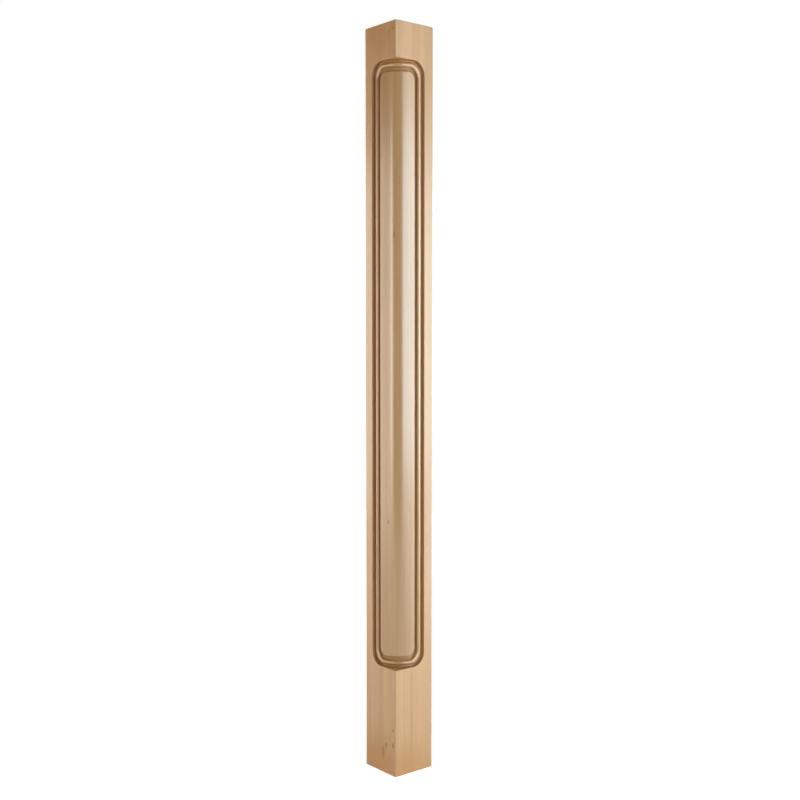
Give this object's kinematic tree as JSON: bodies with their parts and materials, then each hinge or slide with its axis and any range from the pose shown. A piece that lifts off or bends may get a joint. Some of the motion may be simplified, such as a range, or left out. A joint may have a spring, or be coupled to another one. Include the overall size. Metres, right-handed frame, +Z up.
{
  "type": "carved corner post",
  "caption": "Square wooden corner post with plain head and foot, its front corner carved to a quarter column inside a beaded ring.",
  "frame": {"origin": "middle of the underside of the post", "axes": "+Z up along the post; the carved corner is at +X and -Y; the plain faces that go against the cabinet are at -X and +Y"},
  "size_m": [0.0572, 0.0572, 0.889],
  "materials": {
    "maple": "satin"
  },
  "bodies": {
    "root": {"corner_post": "maple"}
  },
  "joints": []
}
